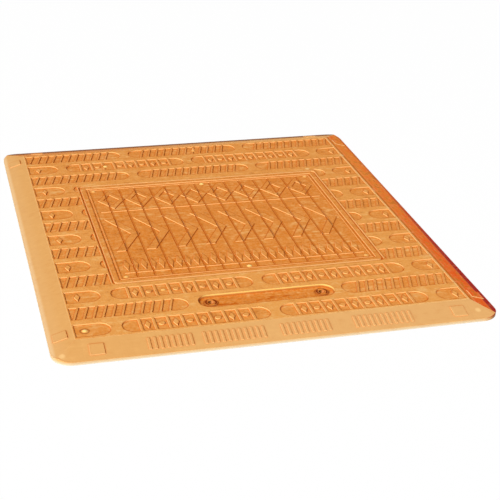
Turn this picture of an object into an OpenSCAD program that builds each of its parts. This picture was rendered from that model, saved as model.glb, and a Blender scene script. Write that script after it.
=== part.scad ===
// A moulded road plate: one flat piece that is laid over a narrow trench.
// Bevelled on all four sides, with a tread of sunk bars, a recessed middle panel,
// a slot with two fixing holes near the front, and stiffening ribs below.
// Front is -Y, top is +Z, and the origin is the middle of the underside.

/* [Plate] */
// Width from side to side
plate_w = 1050; // [950:10:1150]
// Depth from front to back
plate_d = 1200; // [1150:10:1300]
// Height of the flat top above the road
face_h = 25; // [23:1:35]
// Height of the upright edge at the foot of the bevels
lip_h = 7.5; // [4:0.5:12]
// Width of the bevels along the two sides
side_bevel = 57; // [50:1:70]
// Width of the bevels at the front and the back
end_bevel = 66; // [60:1:80]
// Radius of the four corners
corner_r = 47; // [20:1:60]

/* [Tread] */
// Depth of the sunk bars below the flat top
tread_deep = 2.5; // [1:0.5:3]
// Number of rows of bars from front to back
row_count = 14; // [12:1:14]
// Distance between the rows
row_pitch = 76.6; // [72:0.2:80]
// Distance from the front edge to the middle of the first row
first_row = 102; // [95:1:110]
// Width of a bar
bar_w = 54; // [44:1:58]
// Gap between two bars of a row
bar_gap = 25; // [15:1:40]
// Width of the ribs that stand in the bars, level with the flat top
rung_w = 6; // [3:0.5:8]
// Distance between upright ribs
rung_pitch = 29; // [24:1:45]
// Distance between leaning ribs
slant_pitch = 21; // [14:0.5:30]
// How far a leaning rib leans over the width of its bar
slant = 16; // [6:1:24]
// Width of the lozenges between upright ribs
lozenge_w = 14; // [8:1:16]
// Length of the lozenges between upright ribs
lozenge_l = 36; // [20:1:40]
// Diameter of the round pips that take turns with the lozenges
pip_d = 15; // [8:1:16]
// Width of the plain border round the tread
border = 3; // [1:0.5:8]

/* [Studs] */
// Diameter of the small domed studs
stud_d = 13; // [8:1:16]
// Diameter of the round well that a stud in the tread stands in
well_d = 24; // [18:1:30]
// Distance of the panel's studs from the sides of its field
stud_in = 20; // [16:1:30]
// Distance of the panel's studs from the front and the back of its field
stud_back = 17; // [17:1:24]

/* [Panel] */
// Width of the recessed panel
panel_w = 690; // [600:2:720]
// Depth of the recessed panel from front to back
panel_d = 583; // [560:1:600]
// Radius of the panel's corners
panel_r = 12; // [4:1:20]
// Width of the narrow channel round the panel
moat_w = 5; // [2:0.5:8]
// Depth of the narrow channel
moat_deep = 3.5; // [1:0.5:4]
// Width of the flat rib between the channel and the field
frame_w = 13; // [8:1:20]
// Depth of the panel's field below the flat top
field_deep = 2.4; // [1:0.2:3]
// Width of the low bead that runs round inside the field
bead_w = 4; // [2:0.5:6]
// Distance from the edge of the field to the bead
bead_in = 5; // [3:0.5:8]
// Height of the bead above the field
bead_h = 1.4; // [0.6:0.2:2]
// Number of grooves across the field
groove_count = 14; // [6:1:14]
// Distance between the grooves
groove_pitch = 43; // [30:1:44]
// Width of the grooves
groove_w = 3; // [1:0.2:4]
// Depth of the grooves below the field
groove_deep = 1.2; // [0.3:0.1:1.4]

/* [Figures in the panel] */
// Height of the figures above the field
figure_h = 2; // [0.6:0.2:2.4]
// Distance from the sides of the field to the figures
figure_in = 20; // [14:1:40]
// Width of the two thin rules
rule_w = 3; // [2:0.5:6]
// Places of the two rules, from the front of the field
rule_front = 34; // [30:1:38]
rule_back = 389; // [360:1:396]
// Middle of the band of small lozenges, from the front of the field
small_at = 75; // [70:1:80]
// Length of the small lozenges
small_l = 60; // [30:1:64]
// Width of the small lozenges
small_w = 15; // [8:1:18]
// Number of small lozenges
small_count = 28; // [20:2:32]
// Start of the band of chevrons, from the front of the field
chevron_from = 153; // [120:1:170]
// Depth of the band of chevrons
chevron_d = 190; // [150:1:200]
// Width of a chevron's arms
chevron_w = 24; // [12:1:28]
// Number of chevrons
chevron_count = 8; // [5:1:9]
// Middle of the band of open lozenges, from the front of the field
ring_at = 464; // [456:1:470]
// Length of the open lozenges
ring_l = 116; // [90:1:120]
// Width of the sides of the open lozenges
ring_w = 13; // [8:1:16]
// Number of open lozenges
ring_count = 8; // [6:1:9]

/* [Fixing slot] */
// Length of the slot
slot_l = 332; // [310:1:336]
// Width of the slot
slot_w = 58; // [50:1:60]
// Depth of the slot below the flat top
slot_deep = 7; // [5:0.5:9]
// Distance between the two fixing holes
bolt_pitch = 272; // [250:2:276]
// Diameter of the fixing holes
bolt_d = 14; // [10:0.5:18]
// Diameter of the collar round each fixing hole
collar_d = 32; // [28:1:40]
// Height of the collars above the floor of the slot
collar_h = 2.5; // [1:0.5:4]

/* [Bevel marks] */
// Height of the grip ribs and the square pads above the bevels
mark_h = 1.8; // [0.6:0.2:2.2]
// Width of one grip rib
grip_w = 6; // [3:0.5:8]
// Length of one grip rib up the bevel
grip_l = 36; // [20:1:42]
// Distance between grip ribs
grip_pitch = 13.5; // [11:0.5:18]
// Side of the square pads near the corners
pad_side = 33; // [24:1:38]
// Distance from the plate's corner to the middle of a pad
pad_in = 99; // [95:1:120]

/* [Underside] */
// Thickness of the skin above the pockets
skin = 7; // [6:0.5:9]
// Number of pockets from side to side
pocket_cols = 11; // [6:1:12]
// Number of pockets from front to back
pocket_rows = 13; // [6:1:14]
// Thickness of the ribs at their feet
rib_w = 4.5; // [3:0.5:8]
// Taper of the pocket walls
draft = 1.5; // [0:0.5:3]
// Width of the solid rim between the pockets and the bevels
rim_in = 12; // [8:1:20]

/* [Hidden] */
$fn = 48;
plate_colour = [0.90, 0.50, 0.20];
over = 1;

top_w = plate_w - 2 * side_bevel;
top_d = plate_d - 2 * end_bevel;
tread_w = top_w - 2 * border;
tread_z = face_h - tread_deep;
side_angle = atan((face_h - lip_h) / side_bevel);
end_angle = atan((face_h - lip_h) / end_bevel);

// Middles of the gaps in the first row and every second one after it, and in the rows between
breaks_odd = [-371, -2.5, 387];
breaks_even = [-178, 174];
row_y = [for (i = [0:row_count - 1]) first_row - plate_d / 2 + i * row_pitch];
slot_row = 1;
slot_y = row_y[slot_row];

panel_y = -7.5;
field_w = panel_w - 2 * (moat_w + frame_w);
field_d = panel_d - 2 * (moat_w + frame_w);
field_z = face_h - field_deep;
field_front = panel_y - field_d / 2;
figure_span = field_w - 2 * figure_in;

// Studs in the tread as [x, row], and in the panel's corners and at the middles of its ends
stud_spots = [[-442, 0], [-233, 2], [-246, 12], [33, 13]];
tread_studs = [for (spot = stud_spots) if (spot[1] < row_count) spot];
stud_reach = [field_w / 2 - stud_in, field_d / 2 - stud_back];
panel_studs = [for (x = [-1, 0, 1], y = [-1, 1]) [x * stud_reach[0], panel_y + y * stud_reach[1]]];

pocket_w = top_w - 2 * rim_in;
pocket_d = top_d - 2 * rim_in;
pocket_h = face_h - skin;
slot_floor = face_h - slot_deep;
// Width of the solid boss round each fixing hole, beyond its collar
boss_w = 4;

// Groups of grip ribs on the front bevel as [middle, count]
grip_groups = [[-263, 8], [-117, 11], [50, 9], [237, 11]];

// Outlines

module stadium(length, width) {
    square([length - width, width], center = true);
    for (side = [-1, 1])
        translate([side * (length - width) / 2, 0]) circle(d = width);
}

module rounded_box(width, depth, radius) {
    square([width - 2 * radius, depth], center = true);
    square([width, depth - 2 * radius], center = true);
    for (x = [-1, 1], y = [-1, 1])
        translate([x * (width / 2 - radius), y * (depth / 2 - radius)]) circle(r = radius);
}

module lozenge(width, length) {
    polygon([[-width / 2, 0], [0, -length / 2], [width / 2, 0], [0, length / 2]]);
}

// A lozenge with a lozenge cut out of it, whose sides are side wide when measured square to them
module open_lozenge(width, length, side) {
    shrink = 1 - 2 * side * sqrt(width * width + length * length) / (width * length);
    difference() {
        lozenge(width, length);
        lozenge(width * shrink, length * shrink);
    }
}

// A chevron that points to +x, with arms of the given width along x
module chevron(width, length, arm) {
    tip = width - arm;
    polygon([[0, 0], [arm, 0], [width, length / 2], [arm, length], [0, length], [tip, length / 2]]);
}

// An upright strip that leans over to +x on its way to +y
module strip(width, length, lean) {
    polygon([
        [-width / 2 - lean / 2, -length / 2],
        [width / 2 - lean / 2, -length / 2],
        [width / 2 + lean / 2, length / 2],
        [-width / 2 + lean / 2, length / 2]
    ]);
}

// Solid body

// The plate's section seen along one axis: an upright lip, a bevel and the flat top
module section(width, bevel) {
    polygon([
        [-width / 2, 0],
        [width / 2, 0],
        [width / 2, lip_h],
        [width / 2 - bevel, face_h],
        [-width / 2 + bevel, face_h],
        [-width / 2, lip_h]
    ]);
}

module blank() {
    intersection() {
        rotate([90, 0, 0])
            linear_extrude(plate_d, center = true) section(plate_w, side_bevel);
        rotate([90, 0, 90])
            linear_extrude(plate_w, center = true) section(plate_d, end_bevel);
        linear_extrude(face_h) rounded_box(plate_w, plate_d, corner_r);
    }
}

// Tread

// Places from a to b, about a pitch apart and the given distance from both ends
function places(a, b, pitch, inset) =
    let (run = b - a - 2 * inset, steps = floor(run / pitch))
    run < 0 ? [] : steps == 0 ? [(a + b) / 2] : [for (i = [0:steps]) a + inset + i * run / steps];

// The outline of one bar from x0 to x1, cut off at lo and hi
module bar(x0, x1, lo, hi) {
    intersection() {
        translate([(x0 + x1) / 2, 0]) stadium(x1 - x0, bar_w);
        translate([lo, -bar_w]) square([hi - lo, 2 * bar_w]);
    }
}

// A lozenge or a round pip at x, left out where a stud stands in its way
module filler(x, is_pip, stud_x) {
    if (min([for (other = concat(stud_x, plate_w)) abs(other - x)]) > rung_pitch / 2 + rung_w)
        translate([x, 0])
            if (is_pip) circle(d = pip_d);
            else lozenge(lozenge_w, lozenge_l);
}

// Upright ribs with a lozenge or a round pip between each two, or one lozenge in a short bar
module rungs(a, b, stud_x) {
    at = places(a, b, rung_pitch, rung_pitch / 2);
    if (len(at) > 1) {
        for (x = at)
            translate([x, 0]) square([rung_w, bar_w + over], center = true);
        for (i = [1:len(at) - 1])
            filler((at[i - 1] + at[i]) / 2, i % 2 == 0, stud_x);
    } else if (len(at) == 1) {
        filler(at[0], false, stud_x);
    }
}

// Ribs that all lean the same way
module slants(a, b) {
    for (x = places(a, b, slant_pitch, slant / 2 + rung_w))
        translate([x, 0]) strip(rung_w, bar_w + over, slant);
}

// The sunk bars of row i between lo and hi, with the row's gaps at the given places
module row(i, breaks, lo, hi) {
    stud_x = [for (spot = tread_studs) if (spot[1] == i) spot[0]];
    ends = concat([-plate_w], breaks, [plate_w]);
    for (k = [1:len(ends) - 1]) {
        x0 = ends[k - 1] + bar_gap / 2;
        x1 = ends[k] - bar_gap / 2;
        a = max(x0 + bar_w / 2, lo);
        b = min(x1 - bar_w / 2, hi);
        if (x0 < hi - border && x1 > lo + border)
            difference() {
                bar(x0, x1, lo, hi);
                if (i % 2 == 0) rungs(a, b, stud_x);
                else slants(a, b);
            }
    }
}

// All rows, which stop short of the panel and leave room for the fixing slot
module rows() {
    edge = tread_w / 2;
    beside = panel_w / 2 + border;
    for (i = [0:row_count - 1]) {
        breaks = i % 2 == 0 ? breaks_odd : breaks_even;
        crosses = abs(row_y[i] - panel_y) < (panel_d + bar_w) / 2;
        inner = crosses ? [-beside, beside] : i == slot_row ? breaks : [0, 0];
        translate([0, row_y[i]])
            if (inner[0] < inner[1]) {
                row(i, breaks, -edge, inner[0]);
                row(i, breaks, inner[1], edge);
            } else {
                row(i, breaks, -edge, edge);
            }
    }
}

module tread_cut() {
    translate([0, 0, tread_z]) linear_extrude(tread_deep + over) {
        rows();
        for (spot = tread_studs)
            translate([spot[0], row_y[spot[1]]]) circle(d = well_d);
    }
}

// A low dome of the given height on a floor at z = 0
module stud(height) {
    ball_r = (stud_d * stud_d / 4 + height * height) / (2 * height);
    intersection() {
        translate([0, 0, height - ball_r]) sphere(r = ball_r);
        translate([0, 0, -over]) cylinder(d = stud_d, h = height + over);
    }
}

module studs() {
    for (spot = tread_studs)
        translate([spot[0], row_y[spot[1]], tread_z]) stud(tread_deep);
    for (spot = panel_studs)
        translate([spot[0], spot[1], field_z]) stud(field_deep);
}

// Panel

module panel_cut() {
    translate([0, panel_y, face_h - moat_deep]) linear_extrude(moat_deep + over) difference() {
        rounded_box(panel_w, panel_d, panel_r);
        rounded_box(panel_w - 2 * moat_w, panel_d - 2 * moat_w, panel_r - moat_w / 2);
    }
    translate([0, panel_y, field_z]) linear_extrude(field_deep + over)
        square([field_w, field_d], center = true);
}

module grooves() {
    height = groove_deep + field_deep;
    length = field_d - 2 * (bead_in + bead_w);
    middle = (groove_count - 1) / 2;
    for (i = [0:groove_count - 1])
        translate([(i - middle) * groove_pitch, panel_y, face_h - height / 2])
            cube([groove_w, length, height], center = true);
}

module bead() {
    outer = [field_w - 2 * bead_in, field_d - 2 * bead_in];
    translate([0, panel_y, field_z - over]) linear_extrude(bead_h + over) difference() {
        square(outer, center = true);
        square([outer[0] - 2 * bead_w, outer[1] - 2 * bead_w], center = true);
    }
}

// Places count children evenly along the figures' span, at y from the front of the field
module along_figures(count, y) {
    step = figure_span / count;
    for (i = [0:count - 1])
        translate([(i - (count - 1) / 2) * step, field_front + y]) children();
}

module figures() {
    translate([0, 0, field_z - over]) linear_extrude(figure_h + over) {
        for (y = [rule_front, rule_back])
            translate([-figure_span / 2, field_front + y]) square([figure_span, rule_w]);
        along_figures(small_count, small_at)
            lozenge(small_w, small_l);
        along_figures(chevron_count, chevron_from)
            translate([-figure_span / chevron_count / 2, 0])
                chevron(figure_span / chevron_count, chevron_d, chevron_w);
        along_figures(ring_count, ring_at)
            open_lozenge(figure_span / ring_count - border, ring_l, ring_w);
    }
}

// Slot and underside

module slot_cut() {
    translate([0, slot_y, slot_floor]) linear_extrude(slot_deep + over) stadium(slot_l, slot_w);
}

module at_bolts() {
    for (side = [-1, 1])
        translate([side * bolt_pitch / 2, slot_y]) children();
}

// A row of tapered bars along one axis, as wide as the pockets are
module comb(length, count) {
    pitch = length / count;
    foot = pitch / 2 - rib_w / 2 + pocket_h * tan(draft);
    roof = pitch / 2 - rib_w / 2;
    for (i = [0:count - 1])
        translate([(i - (count - 1) / 2) * pitch, 0])
            polygon([[-foot, -over], [foot, -over], [roof, pocket_h], [-roof, pocket_h]]);
}

module pockets() {
    difference() {
        intersection() {
            rotate([90, 0, 0])
                linear_extrude(pocket_d, center = true) comb(pocket_w, pocket_cols);
            rotate([90, 0, 90])
                linear_extrude(pocket_w, center = true) comb(pocket_d, pocket_rows);
        }
        // Keeps the full skin under the slot and a boss round each fixing hole
        translate([0, slot_y, slot_floor - skin]) linear_extrude(face_h)
            stadium(slot_l + 2 * skin, slot_w + 2 * skin);
        translate([0, 0, -2 * over]) at_bolts() cylinder(d = collar_d + 2 * boss_w, h = face_h);
    }
}

// Bevel marks

// Puts children on the front or back bevel at x, with their own z square to the slope
module on_end(x, up, back = false) {
    mirror([0, back ? 1 : 0, 0])
        translate([x, -plate_d / 2, lip_h]) rotate([end_angle, 0, 0]) translate([0, up, 0]) children();
}

// Puts children on the right or left bevel at y
module on_side(y, up, left = false) {
    mirror([left ? 1 : 0, 0, 0])
        translate([plate_w / 2, y, lip_h]) rotate([side_angle, 0, 90]) translate([0, up, 0]) children();
}

module pad() {
    translate([0, 0, (mark_h - over) / 2]) cube([pad_side, pad_side, mark_h + over], center = true);
}

module grip_ribs(count) {
    for (i = [0:count - 1])
        translate([(i - (count - 1) / 2) * grip_pitch, 0, (mark_h - over) / 2])
            cube([grip_w, grip_l, mark_h + over], center = true);
}

module bevel_marks() {
    for (side = [-1, 1], back = [false, true])
        on_end(side * (plate_w / 2 - pad_in), end_bevel / 2, back) pad();
    for (side = [-1, 1], left = [false, true])
        on_side(side * (plate_d / 2 - pad_in), side_bevel / 2, left) pad();
    for (group = grip_groups)
        on_end(group[0], end_bevel / 2) grip_ribs(group[1]);
}

module plate() {
    color(plate_colour) difference() {
        union() {
            difference() {
                blank();
                tread_cut();
                panel_cut();
                slot_cut();
                pockets();
            }
            at_bolts() translate([0, 0, slot_floor - over]) cylinder(d = collar_d, h = collar_h + over);
            studs();
            bead();
            figures();
            bevel_marks();
        }
        grooves();
        at_bolts() translate([0, 0, -over]) cylinder(d = bolt_d, h = face_h + 2 * over);
    }
}

plate();
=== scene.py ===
"""Studio picture of a moulded road plate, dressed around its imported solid."""

import logging
import math
import operator
from dataclasses import dataclass, field
from enum import Enum
from functools import reduce
from typing import Any, Iterable, Sequence

import bpy
from mathutils import Matrix, Vector


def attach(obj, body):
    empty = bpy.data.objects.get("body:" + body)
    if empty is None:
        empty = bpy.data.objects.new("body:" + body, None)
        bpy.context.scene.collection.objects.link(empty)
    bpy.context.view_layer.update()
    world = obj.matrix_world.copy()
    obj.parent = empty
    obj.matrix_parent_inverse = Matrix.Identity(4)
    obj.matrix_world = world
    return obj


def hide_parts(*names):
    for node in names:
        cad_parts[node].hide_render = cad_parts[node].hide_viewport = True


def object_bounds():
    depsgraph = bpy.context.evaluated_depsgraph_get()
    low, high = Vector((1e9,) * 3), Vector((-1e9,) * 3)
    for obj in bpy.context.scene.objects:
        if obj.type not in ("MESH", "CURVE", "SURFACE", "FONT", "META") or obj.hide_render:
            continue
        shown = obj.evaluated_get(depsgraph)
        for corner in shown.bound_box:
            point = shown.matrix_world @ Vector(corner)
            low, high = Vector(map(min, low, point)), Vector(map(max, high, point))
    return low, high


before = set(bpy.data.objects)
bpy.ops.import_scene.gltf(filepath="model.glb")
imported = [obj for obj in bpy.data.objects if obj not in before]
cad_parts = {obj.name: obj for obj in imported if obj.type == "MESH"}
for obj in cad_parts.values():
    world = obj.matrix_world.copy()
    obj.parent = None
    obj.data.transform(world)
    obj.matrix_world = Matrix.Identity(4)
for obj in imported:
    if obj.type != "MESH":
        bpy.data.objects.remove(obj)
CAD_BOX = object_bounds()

LOG = logging.getLogger("road_plate")
MM = 0.001
WHITE = (1.0, 1.0, 1.0, 1.0)

Pair = tuple[float, float]
Triple = tuple[float, float, float]
Colour = tuple[float, float, float, float]


class Operation(Enum):
    """The Math operations that a signal can ask for."""

    ADD = "ADD"
    SUBTRACT = "SUBTRACT"
    MULTIPLY = "MULTIPLY"
    LARGER = "MAXIMUM"
    SMALLER = "MINIMUM"
    SIZE = "ABSOLUTE"
    SINE = "SINE"


class LampRole(Enum):
    """What a lamp does for the picture."""

    KEY = "key"
    FILL = "fill"


def colour(red: int, green: int, blue: int) -> Colour:
    """Turns a screen colour into the linear one that a shader takes.

    Args:
        red: Red from 0 to 255.
        green: Green from 0 to 255.
        blue: Blue from 0 to 255.

    Returns:
        The linear colour, opaque.
    """
    def linear(value: int) -> float:
        """Undoes the screen's curve for one channel."""
        part = value / 255
        return part / 12.92 if part <= 0.04045 else ((part + 0.055) / 1.055) ** 2.4

    return (linear(red), linear(green), linear(blue), 1.0)


def select_only(piece: bpy.types.Object) -> None:
    """Makes one object the selected and active one, so that operators act on it alone.

    Args:
        piece: The object to select.
    """
    bpy.ops.object.select_all(action="DESELECT")
    piece.select_set(True)
    bpy.context.view_layer.objects.active = piece


class Signal:
    """A number on its way through a node tree, which adds Math nodes as it is used in sums."""

    def __init__(self, nodes: "Nodes", socket: bpy.types.NodeSocket) -> None:
        """Wraps a socket.

        Args:
            nodes: The tree that gets the new nodes.
            socket: The output that holds the number.
        """
        self.nodes = nodes
        self.socket = socket

    def _sum(self, operation: Operation, first: Any, second: Any = 0.0) -> "Signal":
        """Adds one Math node.

        Args:
            operation: What the node does.
            first: Its first value, a number or a signal.
            second: Its second value, a number or a signal.

        Returns:
            The node's result.
        """
        made = self.nodes.node("ShaderNodeMath", {"operation": operation.value}, {0: first, 1: second})
        return Signal(self.nodes, made.outputs[0])

    def __add__(self, other: Any) -> "Signal":
        """Adds a number or a signal."""
        return self._sum(Operation.ADD, self, other)

    __radd__ = __add__

    def __sub__(self, other: Any) -> "Signal":
        """Takes away a number or a signal."""
        return self._sum(Operation.SUBTRACT, self, other)

    def __rsub__(self, other: Any) -> "Signal":
        """Takes this signal away from a number."""
        return self._sum(Operation.SUBTRACT, other, self)

    def __mul__(self, other: Any) -> "Signal":
        """Multiplies by a number or a signal."""
        return self._sum(Operation.MULTIPLY, self, other)

    __rmul__ = __mul__

    def __abs__(self) -> "Signal":
        """Drops the sign."""
        return self._sum(Operation.SIZE, self)

    def __or__(self, other: Any) -> "Signal":
        """Joins two masks: the larger of the two."""
        return self._sum(Operation.LARGER, self, other)

    def __and__(self, other: Any) -> "Signal":
        """Keeps what two masks share: the smaller of the two."""
        return self._sum(Operation.SMALLER, self, other)

    def sine(self) -> "Signal":
        """Gives the sine of this value in radians."""
        return self._sum(Operation.SINE, self)

    def between(self, low: float, high: float) -> "Signal":
        """Rises smoothly from 0 at one value to 1 at another.

        Args:
            low: Where the result is 0.
            high: Where the result is 1, which may be the lower of the two.

        Returns:
            The smooth step.
        """
        made = self.nodes.node(
            "ShaderNodeMapRange",
            {"interpolation_type": "SMOOTHSTEP", "clamp": True},
            {"Value": self, "From Min": low, "From Max": high},
        )
        return Signal(self.nodes, made.outputs["Result"])


class Nodes:
    """A node tree with one short way to add to it."""

    def __init__(self, tree: bpy.types.NodeTree) -> None:
        """Takes over a tree and empties it.

        Args:
            tree: The tree to build in.
        """
        self.tree = tree
        self.tree.nodes.clear()

    def node(
        self, kind: str, settings: dict[str, Any] | None = None, sockets: dict[Any, Any] | None = None
    ) -> bpy.types.Node:
        """Adds a node, sets it up and fills its sockets.

        Args:
            kind: The node's type.
            settings: Its properties, set before its sockets.
            sockets: Values, signals or outputs for its inputs, by name or number.

        Returns:
            The new node.
        """
        made = self.tree.nodes.new(kind)
        for key, value in (settings or {}).items():
            setattr(made, key, value)
        for key, value in (sockets or {}).items():
            self.fill(made.inputs[key], value)
        return made

    def fill(self, socket: bpy.types.NodeSocket, value: Any) -> None:
        """Gives an input a value, or links it to a signal or an output.

        Args:
            socket: The input to fill.
            value: A number, colour, signal or output.
        """
        if isinstance(value, Signal):
            value = value.socket
        if isinstance(value, bpy.types.NodeSocket):
            self.tree.links.new(value, socket)
        else:
            socket.default_value = value

    def seen_directly(self) -> Signal:
        """Tells rays that the eye follows from those that only carry light.

        Returns:
            1 for rays from the camera and for mirrored and refracted ones, and 0 for the rest.
        """
        path = self.node("ShaderNodeLightPath")
        kinds = ("Is Camera Ray", "Is Glossy Ray", "Is Transmission Ray")
        camera, glossy, refracted = (Signal(self, path.outputs[kind]) for kind in kinds)
        return camera | glossy | refracted


class Shader(Nodes):
    """A material's node tree, with its surface and the places on the object at hand."""

    RAYS: int = 8

    def __init__(self, name: str) -> None:
        """Starts a material with one Principled shader.

        Args:
            name: The material's name.
        """
        self.material = bpy.data.materials.new(name)
        self.material.use_nodes = True
        super().__init__(self.material.node_tree)
        self.surface = self.node("ShaderNodeBsdfPrincipled")
        self.output = self.node("ShaderNodeOutputMaterial", {}, {"Surface": self.surface.outputs[0]})
        self.place = self.node("ShaderNodeTexCoord")
        self.x, self.y, self.z = self.parts("Object")

    def parts(self, coordinate: str) -> tuple[Signal, ...]:
        """Splits one of the object's own coordinates.

        Args:
            coordinate: The coordinate's name, such as Object or Normal.

        Returns:
            Its x, y and z.
        """
        split = self.node("ShaderNodeSeparateXYZ", {}, {0: self.place.outputs[coordinate]})
        return tuple(Signal(self, socket) for socket in split.outputs)

    def noise(self, size: float, detail: float = 2.0, stretch: Sequence[float] = (1, 1, 1)) -> Signal:
        """Adds a noise pattern.

        Args:
            size: Size of its spots in metres.
            detail: How many finer layers it has.
            stretch: How much longer the spots are along each axis.

        Returns:
            The noise, spread about 0 from -0.5 to 0.5.
        """
        mapping = self.node(
            "ShaderNodeMapping",
            {},
            {"Vector": self.place.outputs["Object"], "Scale": [1 / (size * part) for part in stretch]},
        )
        sockets = {"Vector": mapping.outputs[0], "Scale": 1.0, "Detail": detail}
        made = self.node("ShaderNodeTexNoise", {}, sockets)
        return Signal(self, made.outputs["Fac"]) - 0.5

    def closed_in(self, reach: float, side: Sequence[float] | None = None) -> Signal:
        """Measures how closed in a point is by the piece's own walls.

        Args:
            reach: How far away a wall still counts, in metres.
            side: The way in which it looks out, or straight off the surface when left out.

        Returns:
            0 in the open, up to 1 where walls are all round.
        """
        sockets: dict[Any, Any] = {"Distance": reach}
        if side is not None:
            outlook = self.node("ShaderNodeCombineXYZ", {}, dict(enumerate(side)))
            sockets["Normal"] = outlook.outputs[0]
        settings = {"samples": self.RAYS, "only_local": True}
        made = self.node("ShaderNodeAmbientOcclusion", settings, sockets)
        return 1 - Signal(self, made.outputs["AO"])

    def rounded(self, reach: float) -> tuple[Signal, ...]:
        """Gives the way in which a point would look if every edge near it were rounded.

        Args:
            reach: How far from an edge its rounding starts, in metres.

        Returns:
            The rounded direction's x, y and z.
        """
        made = self.node("ShaderNodeBevel", {"samples": self.RAYS}, {"Radius": reach})
        split = self.node("ShaderNodeSeparateXYZ", {}, {0: made.outputs[0]})
        return tuple(Signal(self, socket) for socket in split.outputs)

    def blend(self, factor: Any, low: Any, high: Any) -> bpy.types.NodeSocket:
        """Mixes two colours.

        Args:
            factor: 0 for the first colour, 1 for the second.
            low: The first colour or output.
            high: The second colour or output.

        Returns:
            The mixed colour.
        """
        # A Mix node has its colours on inputs 6 and 7, and the mixed one on output 2.
        made = self.node("ShaderNodeMix", {"data_type": "RGBA"}, {0: factor, 6: low, 7: high})
        return made.outputs[2]

    def bump(
        self, height: Signal, depth: float, strength: float, under: bpy.types.NodeSocket | None = None
    ) -> bpy.types.NodeSocket:
        """Adds a bump.

        Args:
            height: The relief.
            depth: What a height of 1 stands for in metres.
            strength: How strongly it shows, from 0 to 1.
            under: A normal from another bump that this one lies on.

        Returns:
            The bumped normal.
        """
        sockets = {"Strength": strength, "Distance": depth, "Height": height}
        if under is not None:
            sockets["Normal"] = under
        return self.node("ShaderNodeBump", {}, sockets).outputs[0]

    def band(self, value: Signal, low: float, high: float, soft: float) -> Signal:
        """Gives 1 where a value lies in a range and 0 outside it.

        Args:
            value: The value to test.
            low: Where the range starts.
            high: Where the range ends.
            soft: Half the width of its soft ends.

        Returns:
            The mask.
        """
        return value.between(low - soft, low + soft) & value.between(high + soft, high - soft)

    def box_mask(self, centre: Sequence[float], size: Sequence[float], soft: float) -> Signal:
        """Gives 1 inside an upright box seen from above and 0 outside it.

        Args:
            centre: The box's middle in x and y.
            size: Its width and depth.
            soft: Width of the soft edge.

        Returns:
            The mask.
        """
        across = abs(self.x - centre[0]).between(size[0] / 2 + soft, size[0] / 2 - soft)
        along = abs(self.y - centre[1]).between(size[1] / 2 + soft, size[1] / 2 - soft)
        return across & along

    def dot_mask(self, centre: Sequence[float], radius: float, soft: float) -> Signal:
        """Gives 1 inside an upright round spot and 0 outside it.

        Args:
            centre: The spot's middle in x and y.
            radius: Its radius.
            soft: Width of the soft edge.

        Returns:
            The mask.
        """
        off_x = self.x - centre[0]
        off_y = self.y - centre[1]
        return (off_x * off_x + off_y * off_y).between((radius + soft) ** 2, (radius - soft) ** 2)

    def dots_mask(self, places: Iterable[Sequence[float]], radius: float, soft: float) -> Signal:
        """Gives 1 inside any of a set of upright round spots of one size.

        Args:
            places: Their middles in x and y.
            radius: Their radius.
            soft: Width of their soft edge.

        Returns:
            The mask.
        """
        return self.any_of(self.dot_mask(place, radius, soft) for place in places)

    @staticmethod
    def any_of(masks: Iterable[Signal]) -> Signal:
        """Joins one or more masks: the largest of them at every point."""
        return reduce(operator.or_, masks)


@dataclass(frozen=True)
class PlateForm:
    """The plate's own sizes, as its solid has them, in metres from the middle of its underside."""

    face: float = 25 * MM
    lip: float = 7.5 * MM
    top_size: Pair = (936 * MM, 1068 * MM)
    bevels: Pair = (57 * MM, 66 * MM)
    panel_middle: Pair = (0.0, -7.5 * MM)
    panel_size: Pair = (690 * MM, 583 * MM)
    slot_middle: Pair = (0.0, -421.4 * MM)
    slot_size: Pair = (332 * MM, 58 * MM)
    slot_rim: float = 5 * MM
    bolt_reach: float = 136 * MM
    bolt_radius: float = 7 * MM
    collar_radius: float = 16 * MM
    groove_pitch: float = 43 * MM
    groove_lean: float = 1.2 * MM
    groove_reach: Pair = (300 * MM, 262 * MM)
    rib_pitch: Pair = (912 * MM / 11, 1044 * MM / 13)
    stud_radius: float = 6.5 * MM
    bright_studs: tuple[Pair, ...] = (
        (-442 * MM, -498 * MM), (-246 * MM, 421.2 * MM), (0.0, -264 * MM), (0.0, 249 * MM),
    )
    dull_studs: tuple[Pair, ...] = (
        (-233 * MM, -344.8 * MM), (33 * MM, 497.8 * MM),
        (-307 * MM, -264 * MM), (307 * MM, -264 * MM), (-307 * MM, 249 * MM), (307 * MM, 249 * MM),
    )

    def bolts(self) -> list[Pair]:
        """Gives the places of the two fixing holes."""
        return [(self.slot_middle[0] + side * self.bolt_reach, self.slot_middle[1]) for side in (-1, 1)]


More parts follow.
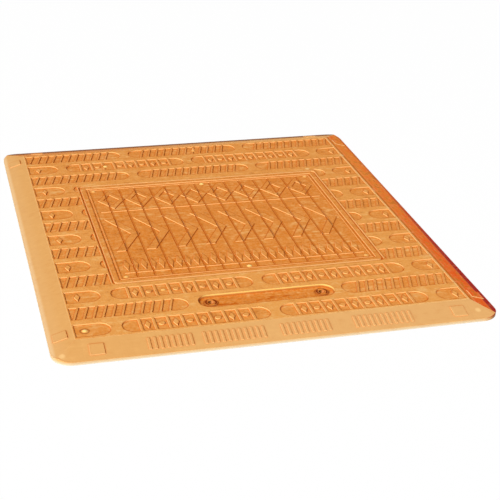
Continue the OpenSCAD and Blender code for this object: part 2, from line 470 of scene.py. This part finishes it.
@dataclass(frozen=True)
class MouldedOrange:
    """Orange glass-filled moulding, with light and shade painted in: paler on the sides that face the
    lamp, painted shade in its corners and on the sides turned away.
    """

    # The plain moulding, its deeper tones, and the painted shades, highlights and glints, with the pale
    # wear.
    orange: Colour = colour(232, 160, 80)
    deep: Colour = colour(218, 123, 37)
    dark: Colour = colour(184, 96, 14)
    # Painted shade for corners, shadows, collars and bores.
    painted_shade: Colour = colour(192, 86, 0)
    collar_shade: Colour = colour(116, 26, 0)
    bore_shade: Colour = colour(76, 20, 0)
    # Painted shade and glints for the sides turned from the lamp.
    red: Colour = colour(250, 150, 54)
    scarlet: Colour = colour(250, 100, 26)
    shade_and_flecks: Colour = colour(214, 116, 30)
    salmon: Colour = colour(255, 152, 92)
    wine: Colour = colour(168, 22, 26)
    back: Colour = colour(238, 148, 66)
    back_pale: Colour = colour(252, 184, 106)
    brown: Colour = colour(120, 64, 24)
    # Painted light for the lit bevels, lip, foot, slot walls and studs, and the pale wear and mottle.
    tan: Colour = colour(215, 159, 93)
    pale: Colour = colour(240, 190, 119)
    gold: Colour = colour(243, 212, 120)
    sand: Colour = colour(232, 186, 122)
    lip_highlight: Colour = colour(206, 180, 140)
    foot_highlight: Colour = colour(216, 204, 180)
    pale_tan: Colour = colour(229, 192, 143)
    stud: Colour = colour(250, 220, 132)
    # How rough and how glossy it is, and the depth and strength of its relief.
    roughness: float = 0.55
    spot_roughness: float = 0.2
    shade_roughness: float = 0.2
    wear_smoothness: float = 0.1
    stud_smoothness: float = 0.3
    sheen_level: float = 0.02
    wear_coat: float = 0.12
    stud_coat: float = 0.4
    coat_roughness: float = 0.35
    grain_relief: Pair = (0.4 * MM, 0.3)
    wave_relief: Pair = (1.0 * MM, 0.5)
    sink_relief: Pair = (0.12 * MM, 0.5)
    # The way that leads from the light, over the ground, and the way towards the lamp from which the
    # painted shadows fall.
    away_heading: Pair = (0.75, 0.66)
    toward_lamp: Triple = (-0.60, -0.66, 0.45)
    # How far an edge's painted highlight and shade, a corner's painted shade and a painted shadow reach,
    # and where there are marks: painted shadows along the slot, and pale marks that are partly painted
    # highlights.
    edge_reach: float = 4 * MM
    corner_reach: float = 5 * MM
    shadow_reach: float = 6 * MM
    slot_shadows: tuple[Pair, ...] = (
        (-100 * MM, -433 * MM), (-12 * MM, -428 * MM), (32 * MM, -421 * MM),
    )
    slot_shadow_size: Pair = (50 * MM, 7 * MM)
    marks: tuple[Pair, ...] = (
        (-503 * MM, -578 * MM), (474 * MM, -571 * MM), (331 * MM, 299 * MM), (467 * MM, 384 * MM),
    )
    mark_radius: float = 5 * MM
    edge_climb: float = 2.5 * MM
    bore_shade_shift: float = 5 * MM
    # How strongly each coat shows.
    drift_depth: float = 0.5
    sunk_depth: float = 0.5
    panel_depth: float = 0.62
    slot_depth: float = 0.9
    front_light_level: float = 0.14
    fringe_level: float = 0.8
    side_level: float = 0.12
    lip_highlight_level: float = 0.85
    foot_highlight_level: float = 0.8
    back_level: float = 0.8
    foot_shade: float = 0.9
    wall_shade: float = 0.85
    fleck_level: float = 0.8
    glint_level: float = 0.75
    edge_level: float = 0.35
    near_edge_level: float = 0.6
    dim_walls: float = 0.4
    crown_highlight: float = 0.9
    rim_highlight: float = 0.6
    slot_highlight_level: float = 0.85
    groove_shade: float = 0.6
    shade_level: float = 0.95
    corner_shade: float = 0.7
    right_rim_shade: float = 0.4
    collar_foot_shade: float = 0.4
    bore_side_shade: float = 0.45
    stud_ring_shade: float = 0.6
    stud_level: float = 0.85
    dull_level: float = 0.4
    bore_shade_level: float = 0.95
    bore_highlight_level: float = 0.8


@dataclass(frozen=True)
class CoatRanges:
    """Where each coat starts and where it is full: first the value with none of it, then with all."""

    # How far a face looks up, from 0 for a wall to 1 for a level face.
    flat: Pair = (0.975, 0.995)
    facing_up: Pair = (0.99, 1.0)
    turning_over: Pair = (0.999, 0.95)
    steep: Pair = (0.93, 0.6)
    not_steep: Pair = (0.3, 0.8)
    upright: Pair = (0.6, 0.3)
    dome: Pair = (0.7, 0.95)
    # How far a face looks away from the light, from -1 to 1.
    lit_slope: Pair = (-0.02, -0.14)
    lit_lip: Pair = (-0.1, -0.5)
    lit_wall: Pair = (0.1, -0.3)
    lit_slot: Pair = (0.1, -0.1)
    lit_rim: Pair = (-0.04, -0.3)
    dim_bore: Pair = (-0.98, -0.75)
    dark_wall: Pair = (0.1, 0.4)
    # How far a face looks to the right, or to the back.
    right_slope: Pair = (0.05, 0.22)
    right_wall: Pair = (0.3, 0.75)
    right_lip: Pair = (0.9, 0.98)
    right_rim: Pair = (0.04, 0.3)
    back_slope: Pair = (0.05, 0.2)
    back_rim: Pair = (0.02, 0.18)
    # Places from left to right, or from front to back.
    front_right: Pair = (-0.35, 0.1)
    back_right: Pair = (-0.25, 0.2)
    left_of_corner: Pair = (0.505, 0.46)
    near_end: Pair = (0.3, -0.4)
    left_fringe: Pair = (0.511, 0.522)
    left_side: Pair = (0.480, 0.512)
    # Heights from the floor, from the lip's edge and from the flat top.
    foot: Pair = (5 * MM, 0.5 * MM)
    lip_wall: Pair = (1 * MM, 0.0)
    lip_edge: Pair = (0.6 * MM, -1.5 * MM)
    slope: Pair = (-1 * MM, 0.0)
    slope_foot: Pair = (11 * MM, 5 * MM)
    slope_edge: Pair = (3.4 * MM, 1.4 * MM)
    above_lip: Pair = (2 * MM, 4 * MM)
    wall_top: Pair = (-4.5 * MM, -2.5 * MM)
    crest: Pair = (-0.5 * MM, -0.1 * MM)
    high: Pair = (-1.3 * MM, -0.8 * MM)
    sunk: Pair = (-0.3 * MM, -1.2 * MM)
    # Bands on the right bevel, out from the flat top: start, end and half the width of the soft ends.
    shade_band: Triple = (1 * MM, 8 * MM, 2 * MM)
    rise_band: Triple = (10 * MM, 14 * MM, 2 * MM)
    flare_band: Triple = (40 * MM, 47 * MM, 4 * MM)
    # Rings of painted shade, measured out from the rim of the collar or of the stud.
    collar_ring: Pair = (-6 * MM, -2 * MM)
    collar_foot: float = 3 * MM
    stud_ring: Pair = (2 * MM, 5 * MM)
    # Parts of a bevel's width, out from the flat top.
    ridge_inside: Pair = (-0.08, -0.05)
    ridge_outside: Pair = (0.02, 0.0)
    mitre_width: Pair = (0.06, 0.0)
    mitre_start: Pair = (0.0, 0.03)
    # Strengths of the noises.
    drift: Pair = (-0.5, 0.5)
    blots: Pair = (-0.6, 0.9)
    dark_flecks: Pair = (-0.02, -0.22)
    flecks: Pair = (-0.12, 0.1)
    glints: Pair = (0.1, 0.3)
    pale_mottle: Pair = (0.0, 0.6)
    dark_mottle: Pair = (0.0, -0.7)
    scuffs: Pair = (-0.12, 0.12)
    slot_shadows: Pair = (-0.1, 0.03)
    # How closed in a point is, and how far it is from a groove, from a bolt or from a rib.
    corner: Pair = (0.03, 0.4)
    cast_shade: Pair = (0.1, 0.54)
    groove: Pair = (0.24, 0.12)
    collar_side: Pair = (4 * MM, 9 * MM)
    rib: Pair = (0.0, 0.12)


class PlateSurface(Shader):
    """The plate's material: the moulding's colour, with wear, painted light and painted shade laid coat
    over coat.
    """

    CLOUD_SIZE: float = 0.17
    SPOT_SIZE: float = 16 * MM
    STREAK_SIZE: float = 7 * MM
    GRAIN_SIZE: float = 10 * MM
    FINE_SIZE: float = 1.5 * MM
    SCUFF_SIZE: float = 5 * MM
    WAVE_SIZE: float = 40 * MM
    ALONG_X: Triple = (8.0, 1.0, 1.0)
    ALONG_Y: Triple = (1.0, 3.5, 1.0)
    SOFT: float = 1 * MM

    def __init__(self, form: PlateForm, finish: MouldedOrange, ranges: CoatRanges) -> None:
        """Finds the way every face looks, and starts with the plain moulding.

        Args:
            form: The plate's sizes, which place the wear and the painted light and shade.
            finish: The colours and how strongly each shows.
            ranges: Where each coat starts and ends.
        """
        super().__init__("moulded_orange")
        self.form = form
        self.finish = finish
        self.ranges = ranges
        self.to_right, self.to_back, self.up = self.parts("Normal")
        self.away = self._heading(self.to_right, self.to_back)
        soft_right, soft_back, _ = self.rounded(finish.edge_reach)
        self.turned = (soft_right - self.to_right, soft_back - self.to_back)
        self.flat = self.up.between(*ranges.flat)
        self.level = self.up.between(*ranges.not_steep)
        self.steep = self.up.between(*ranges.steep)
        self.clouds = self.noise(self.CLOUD_SIZE, detail=4.0)
        self.spots = self.noise(self.SPOT_SIZE, detail=5.0)
        self.bevels = 1 - self.box_mask((0.0, 0.0), form.top_size, self.SOFT / 2)
        self.colour: Any = finish.orange

    def _heading(self, right: Signal, back: Signal) -> Signal:
        """Gives how far a direction points away from the light, from its parts to the right and back."""
        return right * self.finish.away_heading[0] + back * self.finish.away_heading[1]

    def _height(self, base: float, rise: Pair) -> Signal:
        """Rises smoothly from 0 to 1 between two heights.

        Args:
            base: The height that both are measured from.
            rise: How far above it the result is 0, and how far above it 1.

        Returns:
            The smooth step.
        """
        return self.z.between(base + rise[0], base + rise[1])

    def _coat(self, mask: Signal, tint: Any) -> None:
        """Lays one more colour over the surface.

        Args:
            mask: Where it lies, and how thickly.
            tint: The colour.
        """
        self.colour = self.blend(mask, self.colour, tint)

    def finished(self) -> bpy.types.Material:
        """Lays all the coats and sets the shader.

        Returns:
            The finished material.
        """
        finish = self.finish
        self._light_and_tone()
        self._far_sides()
        self._mottle()
        wear_and_highlight = self._wear_and_highlights()
        painted_shade = self._painted_shades()
        shine = self._studs()
        self._bores()

        inputs = self.surface.inputs
        self.fill(inputs["Base Color"], self.colour)
        rougher = self.spots * finish.spot_roughness + painted_shade * finish.shade_roughness
        smoother = wear_and_highlight * finish.wear_smoothness + shine * finish.stud_smoothness
        self.fill(inputs["Roughness"], finish.roughness + rougher - smoother)
        inputs["Specular IOR Level"].default_value = finish.sheen_level
        self.fill(inputs["Coat Weight"], wear_and_highlight * finish.wear_coat + shine * finish.stud_coat)
        inputs["Coat Roughness"].default_value = finish.coat_roughness
        self.fill(inputs["Normal"], self._relief())
        return self.material

    def _light_and_tone(self) -> None:
        """Paints light into the colour: paler on the bevels that face the lamp, in front and on the left,
        with painted highlights on the lip and its foot; deeper where sunk, towards the back and in random
        clouds.
        """
        form, finish, ranges = self.form, self.finish, self.ranges
        drift = (self.clouds * 1.2 + self.y * 0.5 + 0.08).between(*ranges.drift)
        self._coat(drift * finish.drift_depth, finish.deep)
        # Painted light: the bevels that face the lamp are painted tan, and paler still on the right part
        # of the front bevel.
        lit = self.away.between(*ranges.lit_slope) * self.bevels
        self._coat(lit, finish.tan)
        self._coat(lit * self.x.between(*ranges.front_right) * finish.front_light_level, finish.pale_tan)

        panel = self.box_mask(form.panel_middle, form.panel_size, self.SOFT)
        slot = self.box_mask(form.slot_middle, form.slot_size, self.SOFT)
        sunk = self._height(form.face, ranges.sunk)
        self._coat(sunk * self.flat * finish.sunk_depth, finish.deep)
        depth = panel * finish.panel_depth | (slot & sunk) * finish.slot_depth
        self._coat(depth * self.flat, finish.deep)

        # Paler strips along the left bevel's outer edge.
        left = self.x * -1
        fringe = left.between(*ranges.left_fringe) * finish.fringe_level
        side = left.between(*ranges.left_side) * finish.side_level
        self._coat((fringe | side) * self.bevels, finish.pale_tan)
        # Painted highlights: the lip and its foot on the sides that face the lamp are painted pale,
        # almost white at the foot.
        sunny = self.away.between(*ranges.lit_lip) * self.x.between(*ranges.left_of_corner)
        lip = self._height(form.lip, ranges.lip_edge)
        self._coat(lip * sunny * finish.lip_highlight_level, finish.lip_highlight)
        self._coat(self._height(0.0, ranges.foot) * sunny * finish.foot_highlight_level, finish.foot_highlight)

    def _far_sides(self) -> None:
        """Paints shade on the sides turned from the lamp: the right bevel's strong red and its brown lip
        wall, and the back bevel with its darkened foot.
        """
        form, finish, ranges = self.form, self.finish, self.ranges
        to_right = self.to_right * self.bevels
        wall = self._height(form.lip, ranges.lip_wall)
        # Painted shade: the lip wall that faces right is painted brown.
        self._coat(wall * to_right.between(*ranges.right_wall) * finish.wall_shade, finish.brown)
        bevel = self._height(form.lip, ranges.slope) | to_right.between(*ranges.right_lip)
        # Painted shade: the right bevel is painted in a stronger red, its shaded colour.
        self._coat(to_right.between(*ranges.right_slope) * bevel, self._streaked_red())

        # Painted shade: the back bevel is painted as the side turned from the lamp, with its foot painted
        # brown.
        behind = (self.to_back * self.bevels).between(*ranges.back_slope)
        back = self.blend(self.x.between(*ranges.back_right), finish.back, finish.back_pale)
        self._coat(behind * finish.back_level, back)
        foot = self._height(form.lip, ranges.slope_foot)
        self._coat(behind * foot * finish.foot_shade, finish.brown)

    def _streaked_red(self) -> bpy.types.NodeSocket:
        """Mixes the right bevel's red, its painted shaded colour, with random blots and dark flecks, a
        painted shade band, painted glints and a painted dark lower edge.

        Returns:
            The colour.
        """
        form, finish, ranges = self.form, self.finish, self.ranges
        near = self.y.between(*ranges.near_end)
        out = self.x - form.top_size[0] / 2
        grain = self.noise(self.GRAIN_SIZE, detail=5.0, stretch=self.ALONG_Y)
        blots = self.spots * 2.0 + grain * 2.6 + out * 6 + near * 0.75 - 0.42
        strong = self.blend(blots.between(*ranges.blots), finish.red, finish.scarlet)

        # Dark flecks at random, and a painted shade band just below the flat top.
        dark_flecks = (grain + self.spots).between(*ranges.dark_flecks) * finish.fleck_level
        shade = self.band(out, *ranges.shade_band) | dark_flecks
        strong = self.blend(shade, strong, finish.shade_and_flecks)

        # Painted glints: pale flecks in two bands and scattered spots.
        rise = self.band(out, *ranges.rise_band)
        flare = self.band(out, *ranges.flare_band) * near
        flecks = (grain - self.spots).between(*ranges.flecks)
        glints = (rise | flare) * flecks | (self.spots - grain).between(*ranges.glints)
        strong = self.blend(glints * finish.glint_level, strong, finish.salmon)

        # Painted shade: a dark wine line along the bevel's lower edge, rising towards the near end.
        low, high = (form.lip + above for above in ranges.slope_edge)
        edge = (self.z - near * finish.edge_climb).between(low, high)
        level = finish.edge_level + near * finish.near_edge_level
        return self.blend(edge * level, strong, finish.wine)

    def _mottle(self) -> None:
        """Mottles the whole surface, most on level faces."""
        streaks = self.noise(self.STREAK_SIZE, detail=4.0, stretch=self.ALONG_X)
        mottle = self.spots * 1.3 + streaks * 1.1 + self.clouds * 0.6
        pale = mottle.between(*self.ranges.pale_mottle)
        self._coat(pale * (0.2 + 0.6 * self.flat), self.finish.pale)
        dark = mottle.between(*self.ranges.dark_mottle)
        self._coat(dark * (0.2 + 0.7 * self.flat), self.finish.dark)

    def _wear_and_highlights(self) -> Signal:
        """Paints highlights on the walls and rounded edges that face the lamp and on the rounded crests,
        and painted shade low on those walls; adds pale marks, scuffs and worn ridges.

        Returns:
            The mask of the wear and the painted highlights.
        """
        form, finish, ranges = self.form, self.finish, self.ranges
        inside = self._height(form.lip, ranges.above_lip)
        upper = self._height(form.face, ranges.wall_top)
        sunny = self.steep * self.away.between(*ranges.lit_wall)
        # Painted shade: the lower part of each wall that faces the lamp is painted brown.
        self._coat(sunny * (1 - upper) * inside * finish.dim_walls, finish.brown)

        # Painted highlights: the upper part of walls that face the lamp, the rounded crests, and rounded
        # edges turned to the lamp.
        walls = sunny * (upper | self.bevels * inside)
        crest = self._height(form.face, ranges.crest)
        crown = crest * self.up.between(*ranges.turning_over) * finish.crown_highlight
        high = self._height(form.face, ranges.high) | self.bevels
        rims = self._heading(*self.turned).between(*ranges.lit_rim) * high * finish.rim_highlight
        # Pale marks, partly painted highlights; the scuffs and the worn ridges are wear.
        marks = self.dots_mask(finish.marks, finish.mark_radius, 4 * self.SOFT)
        scuffs = self.noise(self.SCUFF_SIZE, detail=6.0).between(*ranges.scuffs)
        scuffed = scuffs * self.up.between(*ranges.facing_up) * (0.12 + (1 - self.bevels) * 0.08)
        ridges = self._ridges() * (0.3 + self.x * 0.8 + scuffs * 0.3)
        wear_and_highlight = walls | crown | rims | marks | scuffed | ridges

        # Painted highlight: the slot's walls that face the lamp are painted gold.
        wide = [size + form.slot_rim for size in form.slot_size]
        slot = self.box_mask(form.slot_middle, wide, self.SOFT)
        lit_slot_walls = slot * self.steep * self.away.between(*ranges.lit_slot) * finish.slot_highlight_level
        rubbed_and_lit = self.blend(lit_slot_walls, finish.pale, finish.gold)
        self._coat(wear_and_highlight, self.blend(self.bevels, rubbed_and_lit, finish.sand))
        return wear_and_highlight

    def _ridges(self) -> Signal:
        """Finds the worn ridges: round the flat top, and where two bevels meet at a corner.

        Returns:
            The mask of the ridges.
        """
        form, ranges = self.form, self.ranges
        out_x, out_y = (
            (abs(axis) - width / 2) * (1 / bevel)
            for axis, width, bevel in zip((self.x, self.y), form.top_size, form.bevels)
        )
        out = out_x | out_y
        rim = out.between(*ranges.ridge_inside) * out.between(*ranges.ridge_outside)
        mitre = abs(out_x - out_y).between(*ranges.mitre_width) * out.between(*ranges.mitre_start)
        return rim | mitre

    def _painted_shades(self) -> Signal:
        """Paints shade: in corners, as shadow cast behind raised edges, on edges and walls turned from
        the lamp, in and beside the grooves, round the collars, and as shadow along the slot.

        Returns:
            The mask of the painted shade.
        """
        finish, ranges = self.finish, self.ranges
        # Painted shade: corners closed in by the plate's own walls are darkened.
        closed = self.closed_in(finish.corner_reach).between(*ranges.corner)
        corner = closed * self.level * finish.corner_shade
        # Painted shadow: points hidden from the lamp's side by nearby walls are darkened, more to the
        # right and less on the bevels.
        cast_shade = self.closed_in(finish.shadow_reach, finish.toward_lamp).between(*ranges.cast_shade) * self.level
        shadowed = cast_shade * (0.85 + self.x * 0.8 - self.bevels * (0.3 + self.x * 2.2))
        # Painted shade: rounded edges turned to the right or back, and walls that face away from the
        # lamp, are darkened.
        right_rims = self.turned[0].between(*ranges.right_rim) * finish.right_rim_shade
        back_rims = self.turned[1].between(*ranges.back_rim)
        rims = (back_rims | right_rims) * self.level * (1 - self.bevels * 0.5)
        shaded = self.up.between(*ranges.upright) * self.away.between(*ranges.dark_wall)
        # Painted shadow: dark patches along the slot's front edge.
        slot_shadow = self.any_of(
            self.box_mask(place, finish.slot_shadow_size, 4 * self.SOFT) for place in finish.slot_shadows
        )
        slot_shadowed = slot_shadow * self.spots.between(*ranges.slot_shadows) * self.level
        painted_shade = corner | shadowed | rims | shaded | slot_shadowed
        collars = self._collars()
        # Painted shade: dark lines in and beside the panel's grooves.
        self._coat(self._grooves() * finish.groove_shade, finish.dark)
        self._coat(painted_shade * finish.shade_level, finish.painted_shade)
        # Painted shade: arcs round the collars, beside the holes and round the near stud.
        self._coat(collars * finish.shade_level, finish.collar_shade)
        return painted_shade | collars

    def _grooves(self) -> Signal:
        """Finds the painted shade in and beside the panel's long grooves.

        Returns:
            The mask of the painted shade.
        """
        form = self.form
        turn = math.pi / form.groove_pitch
        line = abs(((self.x + form.groove_pitch / 2 - form.groove_lean) * turn).sine())
        across, along = (
            abs(off).between(reach, reach - self.SOFT)
            for off, reach in zip((self.x, self.y - form.panel_middle[1]), form.groove_reach)
        )
        return line.between(*self.ranges.groove) * across * along

    def _collars(self) -> Signal:
        """Finds the painted shade inside and round the two collars, beside their holes and round the near
        stud.

        Returns:
            The mask of the painted shade.
        """
        form, finish, ranges = self.form, self.finish, self.ranges
        inner, outer = (
            self.dots_mask(form.bolts(), form.collar_radius + out, self.SOFT)
            for out in ranges.collar_ring
        )
        off_bolt = abs(abs(self.x) - form.bolt_reach)
        arcs = outer * (1 - inner) * off_bolt.between(*ranges.collar_side)
        around = self.dots_mask(form.bolts(), form.collar_radius + ranges.collar_foot, 2 * self.SOFT)
        feet = around * (1 - outer) * finish.collar_foot_shade
        left = [(x - finish.bore_shade_shift, y) for x, y in form.bolts()]
        cast_shade = self.dots_mask(left, form.bolt_radius, 2 * self.SOFT) * finish.bore_side_shade
        near = form.bright_studs[:1]
        bare = self.dots_mask(near, form.stud_radius + ranges.stud_ring[0], self.SOFT)
        ring = self.dots_mask(near, form.stud_radius + ranges.stud_ring[1], 2 * self.SOFT)
        return arcs | feet | cast_shade | (ring & (1 - bare)) * finish.stud_ring_shade

    def _studs(self) -> Signal:
        """Paints highlights on the tops of the small domed studs, some brighter than others.

        Returns:
            The mask of the painted highlights, which also makes the studs glossier.
        """
        form, finish = self.form, self.finish
        rubbed_and_lit = self.dots_mask(form.bright_studs, form.stud_radius, self.SOFT / 2)
        dull = self.dots_mask(form.dull_studs, form.stud_radius, self.SOFT / 2)
        shine = (rubbed_and_lit | dull * finish.dull_level) * self.up.between(*self.ranges.dome)
        # Painted highlights on the tops of the studs.
        self._coat(shine * finish.stud_level, finish.stud)
        return shine

    def _bores(self) -> None:
        """Paints shade in the two fixing holes, and a painted highlight on the part of their walls that
        faces the lamp.
        """
        form, finish = self.form, self.finish
        bores = self.dots_mask(form.bolts(), form.bolt_radius, 0.4 * MM)
        dim = self.away.between(*self.ranges.dim_bore)
        # Painted shade in the holes, and a painted highlight on their walls that face the lamp.
        self._coat(bores * dim * finish.bore_shade_level, finish.bore_shade)
        self._coat(bores * (1 - dim) * finish.bore_highlight_level, finish.salmon)

    def _relief(self) -> bpy.types.NodeSocket:
        """Adds the fine grain, soft waves and the faint sink marks over the ribs.

        Returns:
            The bumped normal.
        """
        across, along = (
            abs(((axis + pitch / 2) * (math.pi / pitch)).sine()).between(*self.ranges.rib)
            for axis, pitch in zip((self.x, self.y), self.form.rib_pitch)
        )
        fine = self.bump(self.noise(self.FINE_SIZE, detail=3.0), *self.finish.grain_relief)
        wide = self.bump(self.noise(self.WAVE_SIZE, detail=2.0), *self.finish.wave_relief, fine)
        return self.bump(across & along, *self.finish.sink_relief, wide)


@dataclass
class RoadPlate:
    """The one moulded piece, with its edges broken as a mould leaves them."""

    form: PlateForm = field(default_factory=PlateForm)
    finish: MouldedOrange = field(default_factory=MouldedOrange)
    ranges: CoatRanges = field(default_factory=CoatRanges)
    edge_radius: float = 0.3 * MM
    edge_steps: int = 2
    edge_angle: float = math.radians(30)
    flat_weight: int = 100
    weld: float = 0.002 * MM
    fold_slack: float = 0.05 * MM
    mitre_slack: float = 0.002

    def build(self) -> bpy.types.Object:
        """Makes the rounded skin from a copy of the solid and dresses it.

        Returns:
            The finished piece.
        """
        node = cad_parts["plate"]
        skin = bpy.data.objects.new("plate_skin", node.data.copy())
        bpy.context.scene.collection.objects.link(skin)
        select_only(skin)
        self._join_facets()
        self._mark_folds(skin)
        self._round_edges(skin)
        skin.data.materials.clear()
        surface = PlateSurface(self.form, self.finish, self.ranges)
        skin.data.materials.append(surface.finished())
        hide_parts("plate")
        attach(skin, "root")
        return skin

    def _join_facets(self) -> None:
        """Merges the loose triangles of the copy into one closed surface."""
        bpy.ops.object.mode_set(mode="EDIT")
        bpy.ops.mesh.select_all(action="SELECT")
        bpy.ops.mesh.remove_doubles(threshold=self.weld)
        bpy.ops.mesh.select_mode(type="EDGE")
        bpy.ops.mesh.select_all(action="DESELECT")
        bpy.ops.object.mode_set(mode="OBJECT")
        bpy.ops.object.shade_smooth()

    def _mark_folds(self, skin: bpy.types.Object) -> None:
        """Keeps the shallow folds crisp: round the flat top, and where two bevels meet at a corner.

        Args:
            skin: The piece to work on.
        """
        points = [point.co for point in skin.data.vertices]
        for edge in skin.data.edges:
            edge.select = self._is_fold([points[index] for index in edge.vertices])
        bpy.ops.object.mode_set(mode="EDIT")
        bpy.ops.mesh.mark_sharp()
        bpy.ops.mesh.select_all(action="DESELECT")
        bpy.ops.object.mode_set(mode="OBJECT")

    def _is_fold(self, ends: Sequence[Vector]) -> bool:
        """Tells whether an edge lies on one of the shallow folds.

        Args:
            ends: The edge's two ends.

        Returns:
            True on the rim of the flat top and on the mitres.
        """
        form, slack = self.form, self.mitre_slack
        outs = [[abs(end[axis]) - form.top_size[axis] / 2 for axis in (0, 1)] for end in ends]
        if all(abs(end.z - form.face) < self.weld for end in ends):
            return any(all(abs(out[axis]) < self.fold_slack for out in outs) for axis in (0, 1))
        parts = [[out[axis] / form.bevels[axis] for axis in (0, 1)] for out in outs]
        high = all(end.z > form.lip + self.weld for end in ends)
        return high and all(abs(across - along) < slack and across > -slack for across, along in parts)

    def _round_edges(self, skin: bpy.types.Object) -> None:
        """Breaks every sharp edge with a small radius and keeps the flats flat.

        Args:
            skin: The piece to work on.
        """
        bevel = skin.modifiers.new("edge", "BEVEL")
        bevel.width = self.edge_radius
        bevel.segments = self.edge_steps
        bevel.limit_method = "ANGLE"
        bevel.angle_limit = self.edge_angle
        bevel.miter_outer = "MITER_ARC"
        bevel.use_clamp_overlap = False
        bevel.loop_slide = False
        bpy.ops.object.modifier_apply(modifier=bevel.name)
        flats = skin.modifiers.new("flats", "WEIGHTED_NORMAL")
        flats.mode = "FACE_AREA"
        flats.weight = self.flat_weight
        flats.keep_sharp = True
        bpy.ops.object.modifier_apply(modifier=flats.name)


@dataclass
class Lamp:
    """One soft lamp, aimed at the plate."""

    role: LampRole
    place: Triple
    size: float
    level: float
    target: Triple = (0.0, 0.0, 0.0)

    def build(self) -> bpy.types.Object:
        """Adds the lamp, with the power that lights a face turned to it at the stated level.

        Returns:
            The lamp.
        """
        data = bpy.data.lights.new(f"{self.role.value}_lamp", "AREA")
        data.shape = "DISK"
        data.size = self.size
        aim = Vector(self.target) - Vector(self.place)
        data.energy = self.level * math.pi**2 * aim.length_squared
        lamp = bpy.data.objects.new(data.name, data)
        lamp.location = self.place
        lamp.rotation_euler = aim.to_track_quat("-Z", "Y").to_euler()
        bpy.context.scene.collection.objects.link(lamp)
        return lamp


@dataclass
class Studio:
    """The pale floor, the white surround and the lamps."""

    floor_size: float = 60.0
    floor_drop: float = 0.3 * MM
    floor_colour: Colour = colour(250, 250, 249)
    floor_roughness: float = 0.9
    floor_sheen: float = 0.1
    floor_glow: float = 0.96
    covered: Pair = (1.0, 1.14)
    sky_level: float = 0.24
    lamps: tuple[Lamp, ...] = (
        Lamp(LampRole.KEY, place=(-15.2, -17.2, 14.8), size=7.6, level=1.22),
        Lamp(LampRole.FILL, place=(1.5, -0.5, 8.5), size=6.0, level=0.10),
    )

    def build(self) -> None:
        """Builds the whole surround."""
        self._floor()
        self._sky()
        for lamp in self.lamps:
            lamp.build()

    def _floor(self) -> None:
        """Lays the floor just under the plate: white to the eye, with the plate's shadow left on it."""
        bpy.ops.object.select_all(action="DESELECT")
        low = CAD_BOX[0].z - self.floor_drop
        bpy.ops.mesh.primitive_plane_add(size=self.floor_size, location=(0, 0, low))
        floor = bpy.context.active_object
        floor.name = "floor"
        shader = Shader("pale_floor")
        shader.surface.inputs["Base Color"].default_value = self.floor_colour
        shader.surface.inputs["Roughness"].default_value = self.floor_roughness
        shader.surface.inputs["Specular IOR Level"].default_value = self.floor_sheen
        glow = shader.node("ShaderNodeEmission", {}, {"Color": WHITE, "Strength": 1.0})
        open_floor = 1 - shader.box_mask((0.0, 0.0), self.covered, 10 * MM)
        white = shader.seen_directly() * open_floor * self.floor_glow
        mixed = shader.node(
            "ShaderNodeMixShader", {}, {0: white, 1: shader.surface.outputs[0], 2: glow.outputs[0]}
        )
        shader.fill(shader.output.inputs["Surface"], mixed.outputs[0])
        floor.data.materials.append(shader.material)

    def _sky(self) -> None:
        """Makes the surround plain white to the eye and softer as a light."""
        world = bpy.data.worlds.new("surround")
        bpy.context.scene.world = world
        world.use_nodes = True
        nodes = Nodes(world.node_tree)
        soft = nodes.node("ShaderNodeBackground", {}, {"Color": WHITE, "Strength": self.sky_level})
        plain = nodes.node("ShaderNodeBackground", {}, {"Color": WHITE, "Strength": 1.0})
        mixed = nodes.node(
            "ShaderNodeMixShader", {}, {0: nodes.seen_directly(), 1: soft.outputs[0], 2: plain.outputs[0]}
        )
        nodes.node("ShaderNodeOutputWorld", {}, {"Surface": mixed.outputs[0]})


@dataclass
class PhotoCamera:
    """The camera at the photograph's place, found from the plate's straight edges."""

    place: Triple = (-0.7544, -2.8033, 1.3863)
    pan: float = math.radians(16.539)
    tilt: float = math.radians(26.489)
    roll: float = math.radians(2.547)
    focal_pixels: float = 1207.25
    picture_width: float = 500.0
    sensor: float = 36.0
    clip: Pair = (0.05, 100.0)

    def build(self) -> bpy.types.Object:
        """Adds the camera and makes it the scene's own.

        Returns:
            The camera.
        """
        data = bpy.data.cameras.new("camera")
        data.sensor_fit = "HORIZONTAL"
        data.sensor_width = self.sensor
        data.lens = self.focal_pixels * self.sensor / self.picture_width
        data.clip_start, data.clip_end = self.clip
        data.dof.use_dof = False
        camera = bpy.data.objects.new("camera", data)
        turn = (
            Matrix.Rotation(-self.pan, 4, "Z")
            @ Matrix.Rotation(math.pi / 2 - self.tilt, 4, "X")
            @ Matrix.Rotation(self.roll, 4, "Z")
        )
        camera.matrix_world = Matrix.Translation(self.place) @ turn
        bpy.context.scene.collection.objects.link(camera)
        bpy.context.scene.camera = camera
        return camera


def main() -> None:
    """Builds the plate and its surround, and reports the plate's face count."""
    logging.basicConfig(level=logging.INFO, format="%(name)s: %(message)s")
    bpy.context.scene.view_settings.view_transform = "Standard"
    PhotoCamera().build()
    skin = RoadPlate().build()
    LOG.info("%s: %d faces", skin.name, len(skin.data.polygons))
    Studio().build()


if __name__ == "__main__":
    main()
